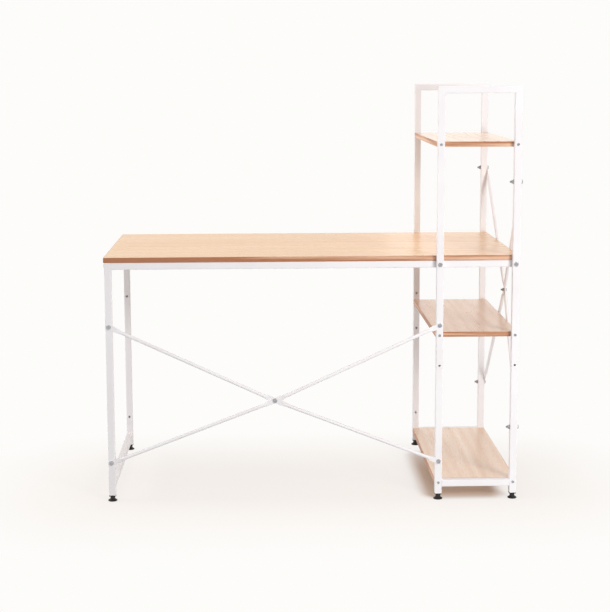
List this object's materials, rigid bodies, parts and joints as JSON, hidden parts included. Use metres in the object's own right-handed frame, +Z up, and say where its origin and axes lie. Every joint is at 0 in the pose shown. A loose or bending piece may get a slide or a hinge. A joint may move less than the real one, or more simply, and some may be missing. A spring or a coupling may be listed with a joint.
{
  "type": "desk with shelves",
  "caption": "Writing desk on a slim white steel tube frame, its pale oak desktop running through an open shelf tower at the right, with crossed braces and levelling feet.",
  "frame": {"origin": "on the floor, below the middle of the whole object", "axes": "+X along the desktop towards the shelf tower, +Y from the side with the crossed braces to the back, +Z up"},
  "size_m": [1.2192, 0.6554, 1.208],
  "materials": {
    "white_frame": "satin powder coat",
    "oak_laminate": "matt printed oak laminate",
    "oak_edge": "matt printed oak edging",
    "zinc_steel": "zinc plated",
    "black_plastic": "moulded, matt"
  },
  "bodies": {
    "desk": {"left_front_leg": "white_frame", "left_rear_leg": "white_frame", "left_top_rail": "white_frame", "left_stretcher": "white_frame", "tower_front_left_post": "white_frame", "tower_front_right_post": "white_frame", "tower_rear_left_post": "white_frame", "tower_rear_right_post": "white_frame", "tower_front_top_rail": "white_frame", "tower_rear_top_rail": "white_frame", "tower_front_bottom_rail": "white_frame", "tower_rear_bottom_rail": "white_frame", "front_apron": "white_frame", "rear_apron": "white_frame", "desktop": "oak_laminate", "top_shelf": "oak_laminate", "middle_shelf": "oak_laminate", "bottom_shelf": "oak_laminate", "desktop_edge_band": "oak_edge", "top_shelf_edge_band": "oak_edge", "middle_shelf_edge_band": "oak_edge", "bottom_shelf_edge_band": "oak_edge", "front_brace_falling": "white_frame", "front_brace_rising": "white_frame", "side_brace_falling": "white_frame", "side_brace_rising": "white_frame", "brace_bolts": "zinc_steel", "brace_middle_bolts": "zinc_steel", "brace_nuts": "zinc_steel", "brace_washers": "zinc_steel", "apron_bolts": "zinc_steel", "apron_rivet_nuts": "zinc_steel", "leg_bolts": "zinc_steel", "shelf_screws": "zinc_steel", "desktop_screws": "zinc_steel", "apron_end_caps": "white_frame", "foot_inserts": "black_plastic", "apron_end_plugs": "black_plastic"},
    "left_front_foot": {"left_front_foot_stem": "zinc_steel", "left_front_foot_pad": "black_plastic"},
    "left_rear_foot": {"left_rear_foot_stem": "zinc_steel", "left_rear_foot_pad": "black_plastic"},
    "tower_front_left_foot": {"tower_front_left_foot_stem": "zinc_steel", "tower_front_left_foot_pad": "black_plastic"},
    "tower_front_right_foot": {"tower_front_right_foot_stem": "zinc_steel", "tower_front_right_foot_pad": "black_plastic"},
    "tower_rear_left_foot": {"tower_rear_left_foot_stem": "zinc_steel", "tower_rear_left_foot_pad": "black_plastic"},
    "tower_rear_right_foot": {"tower_rear_right_foot_stem": "zinc_steel", "tower_rear_right_foot_pad": "black_plastic"}
  },
  "joints": [
    {"name": "left_front_foot_height", "type": "slide", "parent": "desk", "child": "left_front_foot", "axis": [0, 0, -1], "range_m": [0, 0.01]},
    {"name": "left_rear_foot_height", "type": "slide", "parent": "desk", "child": "left_rear_foot", "axis": [0, 0, -1], "range_m": [0, 0.01]},
    {"name": "tower_front_left_foot_height", "type": "slide", "parent": "desk", "child": "tower_front_left_foot", "axis": [0, 0, -1], "range_m": [0, 0.01]},
    {"name": "tower_front_right_foot_height", "type": "slide", "parent": "desk", "child": "tower_front_right_foot", "axis": [0, 0, -1], "range_m": [0, 0.01]},
    {"name": "tower_rear_left_foot_height", "type": "slide", "parent": "desk", "child": "tower_rear_left_foot", "axis": [0, 0, -1], "range_m": [0, 0.01]},
    {"name": "tower_rear_right_foot_height", "type": "slide", "parent": "desk", "child": "tower_rear_right_foot", "axis": [0, 0, -1], "range_m": [0, 0.01]}
  ]
}
